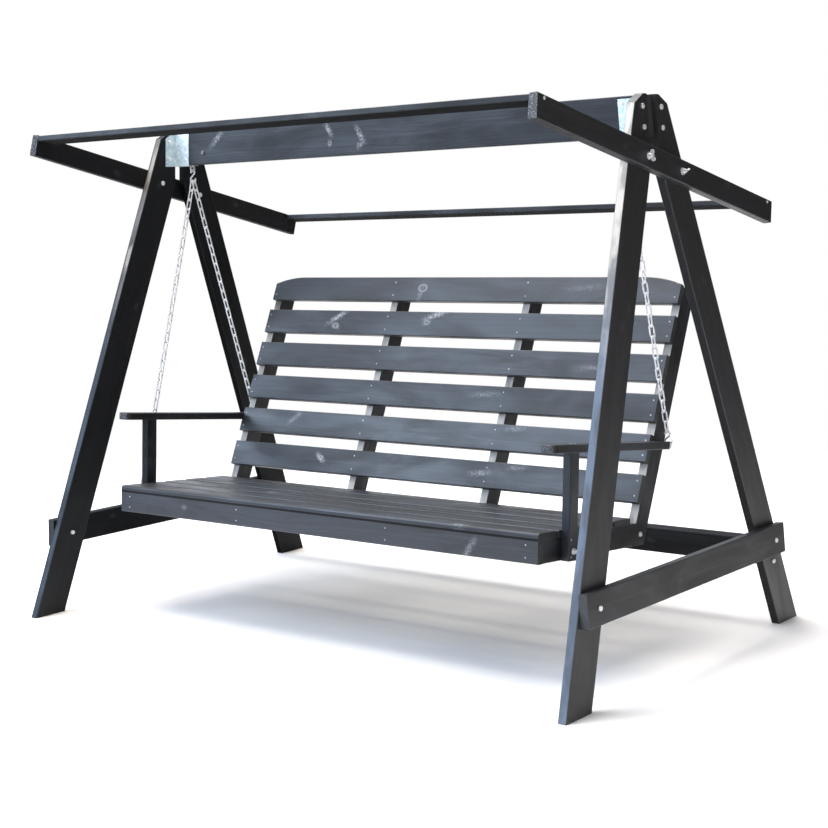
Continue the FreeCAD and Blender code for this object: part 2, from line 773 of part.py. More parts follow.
# Back slats on the front of the posts
backTurn = seatTurn * Rotation(Vector(1, 0, 0), -d.backLean.value)
for index in range(backSlatTotal):
    start = d.backStart + index * d.backPitch
    finish = start + d.backSlatWidth
    slat = newBody("back_slat_%d" % (index + 1))
    sketch = newSketch(slat, "XZ_Plane")
    if index < backSlatTotal - 1:
        addLoop(sketch, rect(-halfSeat, start, halfSeat, finish))
    else:
        addCrest(sketch, start, finish)
    addPad(slat, sketch, d.slatThick, back=True)
    roundEdges(slat, lambda e: runsAlong(e, (1, 0, 0), longEdge) and e.CenterOfMass.y < edgeReach, d.arris)
    place(slat, seatPoint(0, d.backFoot, 0), backTurn)

# Arm posts on the outside of the side rails, tops under the armrests
armFallTan = tanOf(d.armFall)


def armUnder(back):
    return d.armHigh - (back - d.armFront) * armFallTan - d.armThick / cosOf(d.armFall) - d.seatGap


near = d.armPostSetback
far = d.armPostSetback + d.armPostWidth
for side in (-1, 1):
    post = addBoard("arm_post_%s" % sideName[side], "YZ_Plane",
                    [(near, bottom), (far, bottom), (far, armUnder(far)), (near, armUnder(near))], thick)
    roundEdges(post, lambda e: runsAlong(e, (0, 0, 1), longEdge), d.arris)
    addHoles(post, "YZ_Plane", [(armPostMiddle, eyeUp)], boltHole)
    place(post, seatPoint(halfSeat if side > 0 else -halfSeat - thick, 0, 0), seatTurn)

# Armrests: rounded front corners, notched beside the end back posts
armTurn = seatTurn * Rotation(Vector(1, 0, 0), -d.armFall.value)
armSpot = seatPoint(0, d.armFront, d.armHigh)
armOuter = d.armInner + d.armWidth
armEyeX = (halfSeat + armOuter) / 2
for side in (-1, 1):
    notch = halfSeat + d.seatGap
    notchStart = d.armLength - d.armNotchRun
    rest = addBoard("armrest_%s" % sideName[side], "XY_Plane", [
        (side * d.armInner, zero),
        (side * armOuter, zero),
        (side * armOuter, d.armLength),
        (side * notch, d.armLength),
        (side * notch, notchStart),
        (side * d.armInner, notchStart),
    ], d.armThick, back=True)
    roundEdges(rest, lambda e: runsAlong(e, (0, 0, 1)) and e.CenterOfMass.y < edgeReach, d.armCorner)
    roundEdges(rest, lambda e: runsAlong(e, (0, 1, 0), longEdge), d.arris)
    addHoles(rest, "XZ_Plane", [(side * armEyeX, -d.armThick / 2)], boltHole,
             depth=d.eyeShank + d.seatGap, lift=-d.armLength)
    place(rest, armSpot, armTurn)

# Bolts through the back posts and their bearers
pieces = []
for x, way in ((-halfSeat, 1), (-d.bearerOffset - thick, 1), (d.bearerOffset + thick, -1), (halfSeat, -1)):
    spot = seatPoint(x, postBoltBack, postBoltUp)
    pieces += boltAndNut(spot, Vector(way, 0, 0), 2 * thick.value)
solidNode("back_post_bolts", pieces)


# Eye bolt: ring centred on the origin in the XZ plane, shank along +Z
def eyeShape(neck, shank):
    radius = d.eyeRadius.value
    ring = Part.makeTorus(radius, d.eyeWire.value / 2, Vector(0, 0, 0), Vector(0, 1, 0))
    stem = Part.makeCylinder(d.boltDia.value / 2, neck + d.eyeWire.value / 2 + shank, Vector(0, 0, radius))
    return ring.fuse(stem).removeSplitter()


# S-hook in the XZ plane: top bend under the origin, lower bend with a short flat
def hookShape():
    r = d.hookRadius.value
    flat = d.hookFlat.value / 2
    span = d.hookSpan.value
    high = Vector(0, 0, -r)
    low = Vector(-flat, 0, r - span)
    lowFar = Vector(flat, 0, r - span)
    gap = low.sub(high)
    heading = math.atan2(gap.z, gap.x) - math.asin(2 * r / gap.Length)
    normal = Vector(math.sin(heading), 0, -math.cos(heading)) * r
    leave = high.sub(normal)
    arrive = low.add(normal)

    def onBend(centre, degrees):
        turn = math.radians(degrees)
        return centre.add(Vector(r * math.cos(turn), 0, r * math.sin(turn)))
    entry = math.degrees(math.atan2(normal.z, normal.x)) % 360
    mouth = d.hookMouthTop.value
    tip = d.hookMouthLow.value
    path = Part.Wire([
        Part.Arc(onBend(high, mouth), onBend(high, 90), leave).toShape(),
        Part.makeLine(leave, arrive),
        Part.Arc(arrive, onBend(low, (entry + 270) / 2), onBend(low, 270)).toShape(),
        Part.makeLine(onBend(low, 270), onBend(lowFar, 270)),
        Part.Arc(onBend(lowFar, 270), onBend(lowFar, (270 + tip) / 2), onBend(lowFar, tip)).toShape(),
    ])
    first = path.Edges[0]
    heading = first.tangentAt(first.FirstParameter)
    section = Part.Wire([Part.makeCircle(d.hookWire.value / 2, onBend(high, mouth), heading)])
    return path.makePipeShell([section], True, False)


# Chain link centred on the origin in the XZ plane, long axis Z
def linkShape(inner):
    wire = d.linkWire.value / 2
    bend = d.linkWidth.value / 2 - wire
    straight = inner / 2 + wire - bend
    lower = Part.makeTorus(bend, wire, Vector(0, 0, 0), Vector(0, 1, 0), 0, 360, 180)
    upper = lower.copy()
    lower.rotate(Vector(0, 0, 0), Vector(0, 1, 0), 90)
    upper.rotate(Vector(0, 0, 0), Vector(0, 1, 0), -90)
    lower.translate(Vector(0, 0, -straight))
    upper.translate(Vector(0, 0, straight))
    bars = [Part.makeCylinder(wire, 2 * straight, Vector(way * bend, 0, -straight)) for way in (-1, 1)]
    return lower.multiFuse([upper] + bars).removeSplitter()


# Placement whose -Z axis runs down and whose X axis lies nearest to cross
def hangPlace(spot, down, cross):
    up = Vector(down).multiply(-1 / down.Length)
    x = cross.sub(up * cross.dot(up)).normalize()
    return Placement(spot, Rotation(x, up.cross(x), up, "ZXY"))


# Beam eyes with rings across the beam, and the hooks that hang in them
hookHalf = d.hookWire / 2 + d.seatGap
eyeInner = d.eyeRadius - d.eyeWire / 2
eyeLevel = beamLow - d.beamEyeDrop
hookTop = eyeLevel - eyeInner + hookHalf
pivotLevel = hookTop - d.hookSpan
eyes = []
hooks = []
for side in (-1, 1):
    neck = (d.beamEyeDrop - d.eyeRadius - d.eyeWire / 2).value
    eye = eyeShape(neck, d.eyeShank.value)
    spot = Vector(side * d.beamEyeOut.value, 0, eyeLevel.value)
    eye.Placement = Placement(spot, Rotation(Vector(0, 0, 1), 90))
    eyes.append(eye)
    hook = hookShape()
    hook.Placement = Placement(Vector(side * d.beamEyeOut.value, 0, hookTop.value), Rotation())
    hooks.append(hook)
solidNode("beam_eyes", eyes)
solidNode("top_hooks", hooks)


# Chain from the pivot line to an eye ring, and the hook that ends it
def hangChain(name, start, ring, hookCross, odd):
    down = ring.sub(start)
    length = down.Length - (eyeInner - hookHalf).value - d.hookSpan.value
    down.normalize()
    whole = length + 2 * hookHalf.value - d.seatGap.value
    count = 2 * round((whole / d.linkPitch.value - odd) / 2) + odd
    pitch = whole / count
    inner = pitch + d.seatGap.value
    link = linkShape(inner)
    links = []
    for k in range(count):
        copy = link.copy()
        spot = start + down * (inner / 2 - hookHalf.value + k * pitch)
        copy.Placement = hangPlace(spot, down, Vector(1, 0, 0) if k % 2 else Vector(0, 1, 0))
        links.append(copy)
    solidNode(name, links)
    hook = hookShape()
    hook.Placement = hangPlace(start + down * length, down, hookCross)
    return hook


# Seat eyes: at the rear in the ends of the armrests, in front through the arm posts
hooks = []
eyes = []
reach = (d.eyeNeck + d.eyeRadius + d.eyeWire / 2).value
nutSeat = d.washerThick.value
for side in (-1, 1):
    pivot = Vector(side * d.beamEyeOut.value, 0, pivotLevel.value)
    offset = Vector(side * d.linkOffset.value, 0, 0)
    rearAim = armTurn.multVec(Vector(0, 1, 0))
    rearFoot = Vector(side * armEyeX.value, d.armLength.value, -d.armThick.value / 2)
    rearFoot = armSpot + armTurn.multVec(rearFoot)
    frontAim = Vector(side, 0, 0)
    frontFoot = seatPoint(side * (halfSeat + thick), armPostMiddle, eyeUp)
    shanks = (d.eyeShank.value, 3 * thick.value + d.boltTail.value)
    for foot, aim, shank in zip((rearFoot, frontFoot), (rearAim, frontAim), shanks):
        eye = eyeShape(d.eyeNeck.value, shank)
        eye.Placement = hangPlace(foot + aim * reach, aim, Vector(0, 0, 1))
        eyes.append(eye)
        eyes.append(turned(ringShape(d.eyeWasherDia.value / 2, nutSeat, 0), foot, aim))
        eyes.append(turned(nutShape(nutSeat), foot, aim))
    innerNut = nutShape(3 * thick.value)
    eyes.append(turned(innerNut, frontFoot, frontAim * -1))
    rearRing = rearFoot + rearAim * reach
    frontRing = frontFoot + frontAim * reach
    word = sideName[side]
    hooks.append(hangChain("chain_rear_" + word, pivot - offset, rearRing, Vector(1, 0, 0), 1))
    hooks.append(hangChain("chain_front_" + word, pivot + offset, frontRing, Vector(0, 1, 0), 0))
solidNode("lower_hooks", hooks)
solidNode("seat_eyes", eyes)

# Check every piece, then write one file per piece
doc.recompute()
for thing in doc.Objects:
    if "Invalid" in thing.State or "Error" in thing.State:
        raise RuntimeError("not built: " + thing.Label)
for thing in made:
    if thing.Shape.isNull() or not thing.Shape.isValid():
        raise RuntimeError("unsound shape: " + thing.Label)
os.makedirs("parts", exist_ok=True)
for thing in made:
    thing.Shape.exportStep("parts/%s.step" % thing.Label)
print(len(made), "pieces, pivot at", round(pivotLevel.value, 2))
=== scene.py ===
import bpy
import bmesh
import math
import random
from mathutils import Matrix, Vector


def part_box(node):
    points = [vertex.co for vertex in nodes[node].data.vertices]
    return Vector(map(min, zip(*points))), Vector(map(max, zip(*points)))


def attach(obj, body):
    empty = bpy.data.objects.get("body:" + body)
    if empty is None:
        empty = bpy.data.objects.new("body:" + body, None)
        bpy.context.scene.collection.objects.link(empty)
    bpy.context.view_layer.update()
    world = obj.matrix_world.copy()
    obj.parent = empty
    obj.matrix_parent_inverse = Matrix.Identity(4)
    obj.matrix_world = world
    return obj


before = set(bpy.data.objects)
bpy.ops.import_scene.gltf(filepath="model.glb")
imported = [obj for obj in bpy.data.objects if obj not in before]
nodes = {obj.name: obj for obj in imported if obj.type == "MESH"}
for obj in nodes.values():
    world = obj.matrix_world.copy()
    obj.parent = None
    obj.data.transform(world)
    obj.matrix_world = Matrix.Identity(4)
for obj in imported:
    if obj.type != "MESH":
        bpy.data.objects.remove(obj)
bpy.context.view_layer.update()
sides = ((-1, "left"), (1, "right"))
perMetre = 1000  # millimetres
print("frame loaded:", len(nodes), "pieces")

# how the timber stands, in degrees, for grain that follows each board
build = {"lean": 4.0, "leg": 19.8, "roof": 13.4, "seat": 4.5, "back": 24.0, "arm": 6.6}
turn = {name: math.radians(angle) for name, angle in build.items()}


class Signal:  # a socket that can stand in Python sums
    def __init__(self, graph, socket):
        self.graph = graph
        self.socket = socket

    def sum(self, operation, first, second=0.0):
        return self.graph.add("Math", {"operation": operation}, {0: first, 1: second})

    def __add__(self, other):
        return self.sum("ADD", self, other)

    def __radd__(self, other):
        return self.sum("ADD", other, self)

    def __sub__(self, other):
        return self.sum("SUBTRACT", self, other)

    def __rsub__(self, other):
        return self.sum("SUBTRACT", other, self)

    def __mul__(self, other):
        return self.sum("MULTIPLY", self, other)

    def __rmul__(self, other):
        return self.sum("MULTIPLY", other, self)

    def __pow__(self, other):
        return self.sum("POWER", self, other)

    def __abs__(self):
        return self.sum("ABSOLUTE", self)

    def atLeast(self, other):
        return self.sum("MAXIMUM", self, other)

    def wave(self):
        return self.sum("SINE", self) * 0.5 + 0.5

    def ease(self, low, high):  # 0 at low, 1 at high, smooth between
        settings = {"interpolation_type": "SMOOTHSTEP"}
        inputs = {"Value": self, "From Min": low, "From Max": high}
        return self.graph.add("MapRange", settings, inputs)


class Graph:  # makes the nodes of one tree
    def __init__(self, tree):
        self.tree = tree

    def add(self, kind, settings, inputs, out=0):
        node = self.tree.nodes.new("ShaderNode" + kind)
        for key, value in settings.items():
            setattr(node, key, value)
        for key, value in inputs.items():
            self.feed(node.inputs[key], value)
        return Signal(self, node.outputs[out])

    def feed(self, socket, value):
        if isinstance(value, Signal):
            self.tree.links.new(value.socket, socket)
        else:
            socket.default_value = value

    def blend(self, factor, first, second):
        settings = {"data_type": "RGBA", "clamp_factor": True}
        return self.add("Mix", settings, {0: factor, 6: first, 7: second}, 2)

    def vector(self, operation, first, second, out=0):
        return self.add("VectorMath", {"operation": operation}, {0: first, 1: second}, out)

    def dot(self, first, second):
        return self.vector("DOT_PRODUCT", first, second, "Value")

    def where(self, kind):  # Object place, Normal or Generated direction
        return self.add("TexCoord", {}, {}, kind)

    def cloud(self, place, scale, detail=3.0, rough=0.55, swirl=0.0):
        inputs = {"Vector": place, "Scale": scale, "Detail": detail}
        inputs.update({"Roughness": rough, "Distortion": swirl})
        return self.add("TexNoise", {}, inputs)


class Finish(Graph):  # one material ending in a Principled shader
    def __init__(self, name):
        self.material = bpy.data.materials.new(name)
        self.material.use_nodes = True
        super().__init__(self.material.node_tree)
        self.shader = self.tree.nodes["Principled BSDF"]

    def set(self, **values):  # socket names with spaces left out
        for socket in self.shader.inputs:
            key = socket.name.replace(" ", "")
            if key in values:
                self.feed(socket, values[key])

    def relief(self, height, strength, depth):
        inputs = {"Height": height, "Strength": strength, "Distance": depth}
        self.set(Normal=self.add("Bump", {}, inputs))


def grey(value, blue=0.0):
    return (value * (1 - blue), value, value * (1 + 2 * blue), 1.0)


# each board: axes along, across and through it, its centre and half sizes
boards = {}


def measureBoard(name, grain, thick):
    grain = Vector(grain).normalized()
    thick = Vector(thick).normalized()
    cross = thick.cross(grain)
    axes = (grain, cross, thick)
    spots = [vertex.co for vertex in nodes[name].data.vertices]
    spans = [(min(p.dot(a) for p in spots), max(p.dot(a) for p in spots)) for a in axes]
    centre = sum((a * (low + high) / 2 for a, (low, high) in zip(axes, spans)), Vector())
    half = [(high - low) / 2 for low, high in spans]
    boards[name] = {"axes": axes, "centre": centre, "half": half}


def aim(y, z, angle):  # direction in the YZ plane turned about X
    cosine, sine = math.cos(angle), math.sin(angle)
    return (0, y * cosine - z * sine, y * sine + z * cosine)


def numbered(start, count):
    return ["%s_%d" % (start, index) for index in range(1, count + 1)]


for side, word in sides:
    out = (side * math.cos(turn["lean"]), 0, math.sin(turn["lean"]))
    upright = Matrix.Rotation(-side * turn["lean"], 3, "Y")
    for end, place in ((-1, "front"), (1, "rear")):
        rise = upright @ Vector(aim(0, 1, end * turn["leg"]))
        measureBoard("leg_%s_%s" % (place, word), rise, out)
    measureBoard("stretcher_" + word, (0, 1, 0), out)
    measureBoard("roof_arm_" + word, upright @ Vector(aim(1, 0, -turn["roof"])), out)
    measureBoard("seat_side_rail_" + word, aim(1, 0, -turn["seat"]), (side, 0, 0))
    measureBoard("arm_post_" + word, aim(0, 1, -turn["seat"]), (side, 0, 0))
    measureBoard("armrest_" + word, aim(1, 0, -turn["arm"]), aim(0, 1, -turn["arm"]))
for place in ("front", "rear"):
    measureBoard("roof_rail_" + place, (1, 0, 0), aim(0, 1, -turn["roof"]))
measureBoard("rear_crossboard", (1, 0, 0), aim(1, 0, turn["leg"]))
measureBoard("ridge_beam", (1, 0, 0), (0, -1, 0))
measureBoard("seat_front_rail", (1, 0, 0), aim(-1, 0, -turn["seat"]))
seatSlats = numbered("seat_slat", 5)
backSlats = numbered("back_slat", 6)
seatBearers = numbered("seat_bearer", 4)
backPosts = numbered("back_post", 4)
for name in seatSlats:
    measureBoard(name, (1, 0, 0), aim(0, 1, -turn["seat"]))
for name in backSlats:
    measureBoard(name, (1, 0, 0), aim(-1, 0, -turn["back"]))
for name in seatBearers:
    measureBoard(name, aim(1, 0, -turn["seat"]), (1, 0, 0))
for name in backPosts:
    measureBoard(name, aim(0, 1, -turn["back"]), (1, 0, 0))
print("boards measured:", len(boards))

stainAndLight = {
    "deep": grey(0.008, 0.08),
    "mid": grey(0.026, 0.12),
    "pale": grey(0.055, 0.08),
    "latewood": grey(0.007, 0.05),
    "bloom": grey(0.40, 0.02),
    "heart": grey(0.014, -0.05),
    # edge: rubbed arrises, partly a painted highlight on the rounded edges
    "edge": grey(0.050, 0.06),
    # narrow and coolNarrow are painted sheen and painted reflection for the front edges
    "narrow": (0.60, 0.55, 0.48, 1.0),
    "coolNarrow": (0.11, 0.15, 0.21, 1.0),
    "endGrain": grey(0.045, 0.03),
    "endFleck": grey(0.34, 0.02),
    "shade": (0.0, 0.0, 0.0, 1.0),
    "roughLow": 0.30,
    "roughHigh": 0.54,
    "sawnRough": 0.2,
    "usualGloss": 0.5,
    "usualFleck": 0.12,
    "reliefStrength": 0.45,
    "reliefDepth": 0.0005,
}

# growth rings, in metres: pitch, depth of the pith and how far it strays
growth = {
    "pitch": 0.0052, "pithDepth": 0.055, "pithAside": 0.03, "drift": 0.09, "wobble": 0.006,
    "latewood": (0.55, 0.98),
}

# noise drawn out along the grain: scale along, across and through the board
figures = {
    "drift": (1.1, 0.0, 0.0), "wobble": (3.0, 16.0, 16.0), "fibre": (9.0, 420.0, 420.0),
    "streak": (1.6, 60.0, 60.0), "patch": (2.6, 9.0, 9.0), "sweep": (6.0, 14.0, 14.0),
}

# wear and painted light: widths in metres, and how squarely a face has to look that way
wearAndLight = {
    "arris": (0.0006, 0.0050), "rubbed": 0.6, "rubbedSeat": 0.1,
    # paleFacing to innerFade place the painted sheen on the front edges
    "paleFacing": (0.88, 0.98), "raggedReach": 0.5, "footFade": (-0.15, 0.05), "topFade": (0.38, 0.50),
    "bareFade": (0.02, 0.45), "innerRagged": 0.012, "innerFade": (0.15, 0.95),
    "darkFacing": (0.90, 0.98), "darkRail": 0.85,
    "frontFacing": (0.4, 0.8), "jointLine": 0.0045,
    "sawnFacing": (0.75, 0.92),
}

# gloss of the boards that differ, by start of name
gloss = {
    "leg_front_left": 0.18, "leg_rear_left": 0.14, "stretcher_left": 0.06, "roof_arm_left": 0.20,
    "armrest_left": 0.25, "arm_post_left": 0.25, "roof_rail": 0.22, "ridge_beam": 0.36,
    "rear_crossboard": 0.14, "leg_front_right": 0.74, "leg_rear_right": 0.88,
    "roof_arm_right": 0.72, "seat_front_rail": 0.64,
    "back_slat_3": 0.49, "back_slat_2": 0.61, "back_slat": 0.57,
}

# painted sheen on the front edges: strength at the foot, half way up and at the top
paleEdges = {
    "leg_front_right": (0.75, 0.70, 0.85), "leg_front_left": (0.30, 0.20, 0.45),
    "back_post": (0.62, 0.62, 0.62),
}

# boards with pale flecked ends, and boards with a quiet grain; on the left-hand boards the low values
# also paint shade, keeping them darker
paleEnds = {"roof_arm": 1.0, "armrest": 1.0}
quietAndShaded = {
    "leg_front_left": 0.15, "leg_rear_left": 0.15, "stretcher_left": 0.15, "roof_arm_left": 0.15,
    "leg": 0.45, "stretcher": 0.60, "roof_arm": 0.45, "rear_crossboard": 0.45, "back_slat": 0.75,
}


def choose(table, name, usual):  # the entry whose key starts the name
    for key, value in table.items():
        if name.startswith(key):
            return value
    return usual


# pale knots: along, across, ring radius, streak length, streak slope, strength (mm, degrees)
knots = {
    "back_slat_6": [(-159, 4, 15, 12, 20, 0.55), (-166, -24, 0, 34, 80, 0.35),
                    (520, 6, 0, 110, 3, 0.20)],
    "back_slat_5": [(-525, -14, 11, 34, -25, 0.7), (-522, 20, 0, 80, 32, 1.0),
                    (-106, 5, 9, 26, 15, 0.55), (-72, 33, 0, 75, 18, 1.0)],
    "back_slat_4": [(610, -8, 0, 90, 4, 0.3)],
    "back_slat_3": [(210, 14, 0, 90, 5, 0.3)],
    "back_slat_2": [(-609, 18, 0, 55, 40, 0.45), (368, 32, 0, 60, 8, 0.35)],
    "back_slat_1": [(-441, 7, 9, 40, -35, 1.0), (267, 4, 0, 70, 8, 0.5),
                    (401, 30, 0, 60, 5, 0.35)],
    "seat_front_rail": [(633, -10, 0, 52, 55, 0.7), (-560, 4, 6, 20, 10, 0.3)],
    "seat_slat_1": [(595, -34, 0, 40, 6, 0.6)],
    "seat_slat_3": [(-367, -23, 7, 40, 5, 0.7)],
    "ridge_beam": [(-755, 27, 0, 66, 40, 0.7), (-228, 29, 0, 38, -55, 0.9),
                   (-225, -17, 6, 14, 0, 0.7), (-91, 5, 0, 50, -60, 0.8),
                   (-93, -28, 5, 24, 30, 0.7)],
}

# shape of a knot: streaks in metres, rings in parts of their radius
knotShape = {
    "stray": 0.022, "soft": (0.001, 0.015), "grit": (0.44, 0.60), "least": 0.2,
    "drawn": 0.55, "ringStray": 0.006, "rimInside": (0.50, 0.80), "rimOutside": (0.85, 1.20),
    "core": (0.15, 0.5), "rimLeast": 0.35, "rimFleck": 0.6, "hollow": 0.4, "heart": 0.7,
}

# knots of a board with none listed: share of its length and width, radius and streak in mm
faintKnots = {
    "count": 2, "along": 0.8, "across": 0.6, "radius": (5, 9), "streak": 26, "slope": 10,
    "strength": 0.07,
}


def knotMarks(along, wide, fleck, grit, marks):
    pale = None
    heart = None
    sway = fleck - 0.5
    torn = knotShape["least"] + grit.ease(*knotShape["grit"]) * (1 - knotShape["least"])
    for u, v, radius, length, slope, strength in marks:
        du = along - u / perMetre
        dv = wide - v / perMetre
        cosine = math.cos(math.radians(slope))
        sine = math.sin(math.radians(slope))
        run = abs(du * cosine + dv * sine)
        off = abs(dv * cosine - du * sine + sway * knotShape["stray"])
        wisp = (1 - run.ease(0, length / perMetre)) * (1 - off.ease(*knotShape["soft"])) * torn
        if radius:
            ring = radius / perMetre
            inside, outside, core = (
                [part * ring for part in knotShape[key]] for key in ("rimInside", "rimOutside", "core"))
            reach = (du * du * knotShape["drawn"] + dv * dv) ** 0.5 + sway * knotShape["ringStray"]
            rim = reach.ease(*inside) * (1 - reach.ease(*outside))
            middle = 1 - reach.ease(*core)
            wisp = wisp.atLeast(rim * (knotShape["rimLeast"] + fleck * knotShape["rimFleck"]))
            heart = middle if heart is None else heart.atLeast(middle)
        wisp = wisp * strength
        pale = wisp if pale is None else pale.atLeast(wisp)
    return pale, heart


def ownKnots(chance, halfLength, halfWidth):
    along, across = faintKnots["along"], faintKnots["across"]
    spots = [chance.uniform(-along, along) * halfLength * perMetre
             for knot in range(faintKnots["count"])]
    marks = []
    for u in spots:
        v = chance.uniform(-across, across) * halfWidth * perMetre
        radius = chance.uniform(*faintKnots["radius"])
        marks.append((u, v, radius, faintKnots["streak"], faintKnots["slope"], faintKnots["strength"]))
    return marks


# paints sheen on the front edges: pale, and on the legs a bluish painted reflection lower down
def paleFront(finish, name, colour, along, deep, facing, sweep, halfThick):
    foot, half, top = choose(paleEdges, name, None)
    sway = sweep - 0.5
    narrow = finish.dot(facing, aim(-1, 0, -turn["leg"])).ease(*wearAndLight["paleFacing"])
    ragged = along + sway * wearAndLight["raggedReach"]
    worn = ragged.ease(*wearAndLight["footFade"]) * (half - foot)
    worn = worn + ragged.ease(*wearAndLight["topFade"]) * (top - half) + foot
    if name.endswith("left"):  # only the half beside the inner face
        low, high = (part * halfThick for part in wearAndLight["innerFade"])
        worn = worn * (1 - (deep + sway * wearAndLight["innerRagged"]).ease(low, high))
    tone = stainAndLight["narrow"]
    if name.startswith("leg"):  # painted reflection: bluish below, pale sheen above
        tone = finish.blend(ragged.ease(*wearAndLight["bareFade"]), stainAndLight["coolNarrow"], stainAndLight["narrow"])
    return finish.blend(narrow * worn * (0.45 + sweep.ease(0.40, 0.56) * 0.55), colour, tone)


# painted shade: black on the rear legs' front edges, on the roof rails' undersides, and as a shadow
# line under the front seat slat
def paintedShade(finish, name, wide, deep, facing):
    thick = boards[name]["axes"][2]
    halfWidth, halfThick = boards[name]["half"][1:]
    if name.startswith("leg_rear"):  # painted shade on the front edge that faces the ground
        return finish.dot(facing, aim(-1, 0, turn["leg"])).ease(*wearAndLight["darkFacing"])
    if name.startswith("roof_rail"):  # painted shade on the underside of the roof rails too
        return finish.dot(facing, -thick).ease(*wearAndLight["darkFacing"]) * wearAndLight["darkRail"]
    if name in ("seat_slat_1", "seat_front_rail"):  # painted shadow line under the front slat where it lies on the rail
        front = finish.dot(facing, aim(-1, 0, -turn["seat"])).ease(*wearAndLight["frontFacing"])
        edge = deep + halfThick if name == "seat_slat_1" else halfWidth - wide
        return front * (1 - edge.ease(wearAndLight["jointLine"] * 0.5, wearAndLight["jointLine"]))
    return None


def stainedBoard(name, seed):
    board = boards[name]
    finish = Finish("stainedPine_" + name)
    chance = random.Random(seed)
    halfLength, halfWidth, halfThick = board["half"]
    facing = finish.where("Normal")
    away = finish.vector("SUBTRACT", finish.where("Object"), board["centre"])
    along, wide, deep = (finish.dot(away, axis) for axis in board["axes"])
    shift = [chance.uniform(-9, 9) for axis in range(3)]
    moved = {0: along + shift[0], 1: wide + shift[1], 2: deep + shift[2]}
    spot = finish.add("CombineXYZ", {}, moved)

    def figure(kind, detail, rough=0.55, swirl=0.0):
        return finish.cloud(finish.vector("MULTIPLY", spot, figures[kind]), 1.0, detail, rough, swirl)

    # growth rings about a pith that wanders beside the board
    aside = growth["pithAside"]
    pithSide = wide + (figure("drift", 2.0) - 0.5) * growth["drift"] + chance.uniform(-aside, aside)
    pithUnder = deep + growth["pithDepth"] * chance.choice((-1, 1)) * chance.uniform(0.7, 1.3)
    radius = (pithSide * pithSide + pithUnder * pithUnder) ** 0.5
    radius = radius + (figure("wobble", 3.0) - 0.5) * growth["wobble"]
    late = (radius * (math.tau / growth["pitch"])).wave().ease(*growth["latewood"])
    fibre = figure("fibre", 4.0, 0.65)
    streak = figure("streak", 4.0, 0.6)
    patch = figure("patch", 4.0, 0.6, 0.6)
    speckle = finish.cloud(spot, 260.0, 3.0, 0.6)
    grit = finish.cloud(spot, 120.0, 4.0, 0.7, 0.8)

    # a low value keeps the colour near the deep tone: quiet grain, and painted shade on the left-hand
    # boards
    calmAndShade = choose(quietAndShaded, name, 1.0)
    colour = finish.blend(patch.ease(0.34, 0.66) * calmAndShade, stainAndLight["deep"], stainAndLight["mid"])
    colour = finish.blend(streak.ease(0.50, 0.80) * (0.45 * calmAndShade), colour, stainAndLight["pale"])
    colour = finish.blend(late * 0.40, colour, stainAndLight["latewood"])
    colour = finish.blend(fibre.ease(0.55, 0.85) * (0.30 * calmAndShade), colour, stainAndLight["pale"])
    height = fibre * 0.45 + late * 0.25 + streak * 0.35
    marks = knots.get(name) or ownKnots(chance, halfLength, halfWidth)
    pale, heart = knotMarks(along, wide, speckle, grit, marks)
    colour = finish.blend(pale, colour, stainAndLight["bloom"])
    if heart:
        colour = finish.blend(heart * knotShape["heart"], colour, stainAndLight["heart"])
        height = height - heart * knotShape["hollow"]

    # rubbed arrises, partly a painted highlight on the rounded edges; painted sheen on the front edges
    # of the slanting boards; flecked end grain
    inset = (halfWidth - abs(wide)).atLeast(0) + (halfThick - abs(deep)).atLeast(0)
    rubbed = (1 - inset.ease(*wearAndLight["arris"])) * (0.35 + patch.ease(0.35, 0.65) * 0.65)
    rubbingAndSheen = wearAndLight["rubbedSeat"] if name in seatSlats else wearAndLight["rubbed"]
    colour = finish.blend(rubbed * rubbingAndSheen, colour, stainAndLight["edge"])
    if choose(paleEdges, name, None):
        sweep = figure("sweep", 3.0)
        colour = paleFront(finish, name, colour, along, deep, facing, sweep, halfThick)
    sawn = abs(finish.dot(facing, board["axes"][0])).ease(*wearAndLight["sawnFacing"])
    flecked = speckle.ease(0.50, 0.70) * choose(paleEnds, name, stainAndLight["usualFleck"])
    endColour = finish.blend(flecked, stainAndLight["endGrain"], stainAndLight["endFleck"])
    endColour = finish.blend(late * 0.5, endColour, stainAndLight["deep"])
    colour = finish.blend(sawn, colour, endColour)

    polish = (stainAndLight["roughHigh"] - stainAndLight["roughLow"]) * calmAndShade
    rough = stainAndLight["roughHigh"] - patch.ease(0.3, 0.7) * polish + fibre * 0.06
    rough = rough + sawn * stainAndLight["sawnRough"]
    # painted shade and shadow line, blended towards black
    shadeMask = paintedShade(finish, name, wide, deep, facing)
    if shadeMask:
        colour = finish.blend(shadeMask, colour, stainAndLight["shade"])
        rough = rough + shadeMask
    shine = choose(gloss, name, stainAndLight["usualGloss"])
    finish.set(BaseColor=colour, Roughness=rough, SpecularIORLevel=shine)
    finish.relief(height + speckle * sawn, stainAndLight["reliefStrength"], stainAndLight["reliefDepth"])
    return finish.material


def dress(name, material):
    slots = nodes[name].data.materials
    slots.clear()
    slots.append(material)


firstSeed = 100
for seed, name in enumerate(sorted(boards), firstSeed):
    dress(name, stainedBoard(name, seed))
print("boards stained")

zinc = {
    "bright": grey(0.80, 0.01), "dull": grey(0.52, 0.01), "rough": 0.28, "tarnish": 0.24,
    "bloom": 140.0, "speck": 900.0, "worn": (0.35, 0.70), "pitted": (0.66, 0.82),
    "reliefStrength": 0.12, "reliefDepth": 0.0004,
}


